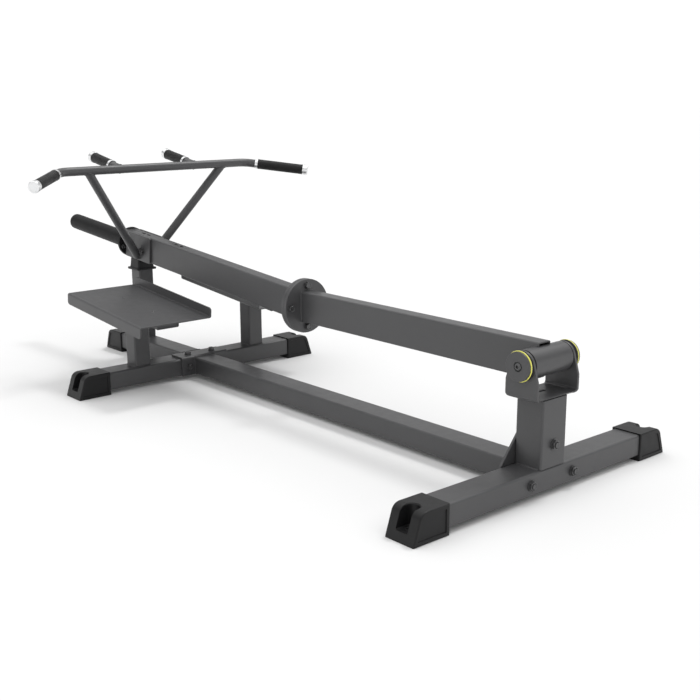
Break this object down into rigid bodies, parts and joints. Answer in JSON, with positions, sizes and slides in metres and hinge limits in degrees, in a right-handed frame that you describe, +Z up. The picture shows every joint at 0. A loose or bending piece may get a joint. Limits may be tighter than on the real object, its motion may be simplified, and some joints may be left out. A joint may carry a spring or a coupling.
{
  "type": "plate-loaded T-bar row",
  "caption": "Standing lever row: a long hinged arm with a plate horn and an angled handle over tilted foot treads, on a low T-shaped frame with rubber feet.",
  "frame": {"origin": "centre of the bounding box at floor level", "axes": "+X along the machine from the weight horn to the pivot, +Y to the user's right as they stand on the treads facing the horn, +Z up"},
  "size_m": [2.0623, 0.9456, 0.6468],
  "materials": {
    "frame_steel": "satin charcoal powder coat with a fine texture",
    "fixings": "black oxide, satin",
    "foot_rubber": "moulded rubber, low sheen",
    "grip_rubber": "matte rubber with a fine diamond pattern",
    "grip_aluminium": "bright turned aluminium",
    "black_plastic": "fine matte",
    "accent": "smooth yellow"
  },
  "bodies": {
    "frame": {"rear_cross_beam": "frame_steel", "rear_foot_left": "foot_rubber", "rear_foot_right": "foot_rubber", "front_cross_beam": "frame_steel", "front_foot_left": "foot_rubber", "front_foot_right": "foot_rubber", "base_beam": "frame_steel", "nose_beam": "frame_steel", "nose_foot": "foot_rubber", "rear_joint_plate": "frame_steel", "rear_joint_bolt_left": "fixings", "rear_joint_bolt_right": "fixings", "rear_joint_bolt_top": "fixings", "front_joint_bracket": "frame_steel", "front_joint_bolt_left": "fixings", "front_joint_bolt_right": "fixings", "rear_post": "frame_steel", "clevis": "frame_steel", "pivot_shaft": "fixings", "pivot_ring_left": "accent", "pivot_cap_left": "black_plastic", "pivot_screw_left": "fixings", "pivot_ring_right": "accent", "pivot_cap_right": "black_plastic", "pivot_screw_right": "fixings", "rest_post": "frame_steel", "rest_bumper": "foot_rubber", "tread_left": "frame_steel", "tread_post_left": "frame_steel", "tread_right": "frame_steel", "tread_post_right": "frame_steel"},
    "lever": {"weight_horn": "frame_steel", "handle_bolt_front": "fixings", "handle_bolt_rear": "fixings", "handle_bar": "frame_steel", "swept_left_collar": "grip_aluminium", "swept_left_grip": "grip_rubber", "swept_left_cap": "grip_aluminium", "neutral_tube_left": "frame_steel", "neutral_left_collar": "grip_aluminium", "neutral_left_grip": "grip_rubber", "neutral_left_cap": "grip_aluminium", "swept_right_collar": "grip_aluminium", "swept_right_grip": "grip_rubber", "swept_right_cap": "grip_aluminium", "neutral_tube_right": "frame_steel", "neutral_right_collar": "grip_aluminium", "neutral_right_grip": "grip_rubber", "neutral_right_cap": "grip_aluminium", "pivot_tube": "frame_steel", "pivot_bearing_left": "black_plastic", "pivot_bearing_right": "black_plastic", "rear_arm": "frame_steel", "front_arm": "frame_steel", "arm_bolt_top": "fixings", "arm_bolt_right": "fixings", "arm_bolt_bottom": "fixings", "arm_bolt_left": "fixings", "handle_strut_left": "frame_steel", "handle_strut_right": "frame_steel"}
  },
  "joints": [
    {"name": "arm_pivot", "type": "hinge", "parent": "frame", "child": "lever", "pos_m": [0.985, 0, 0.283], "axis": [0, 1, 0], "range_deg": [0, 40]}
  ]
}
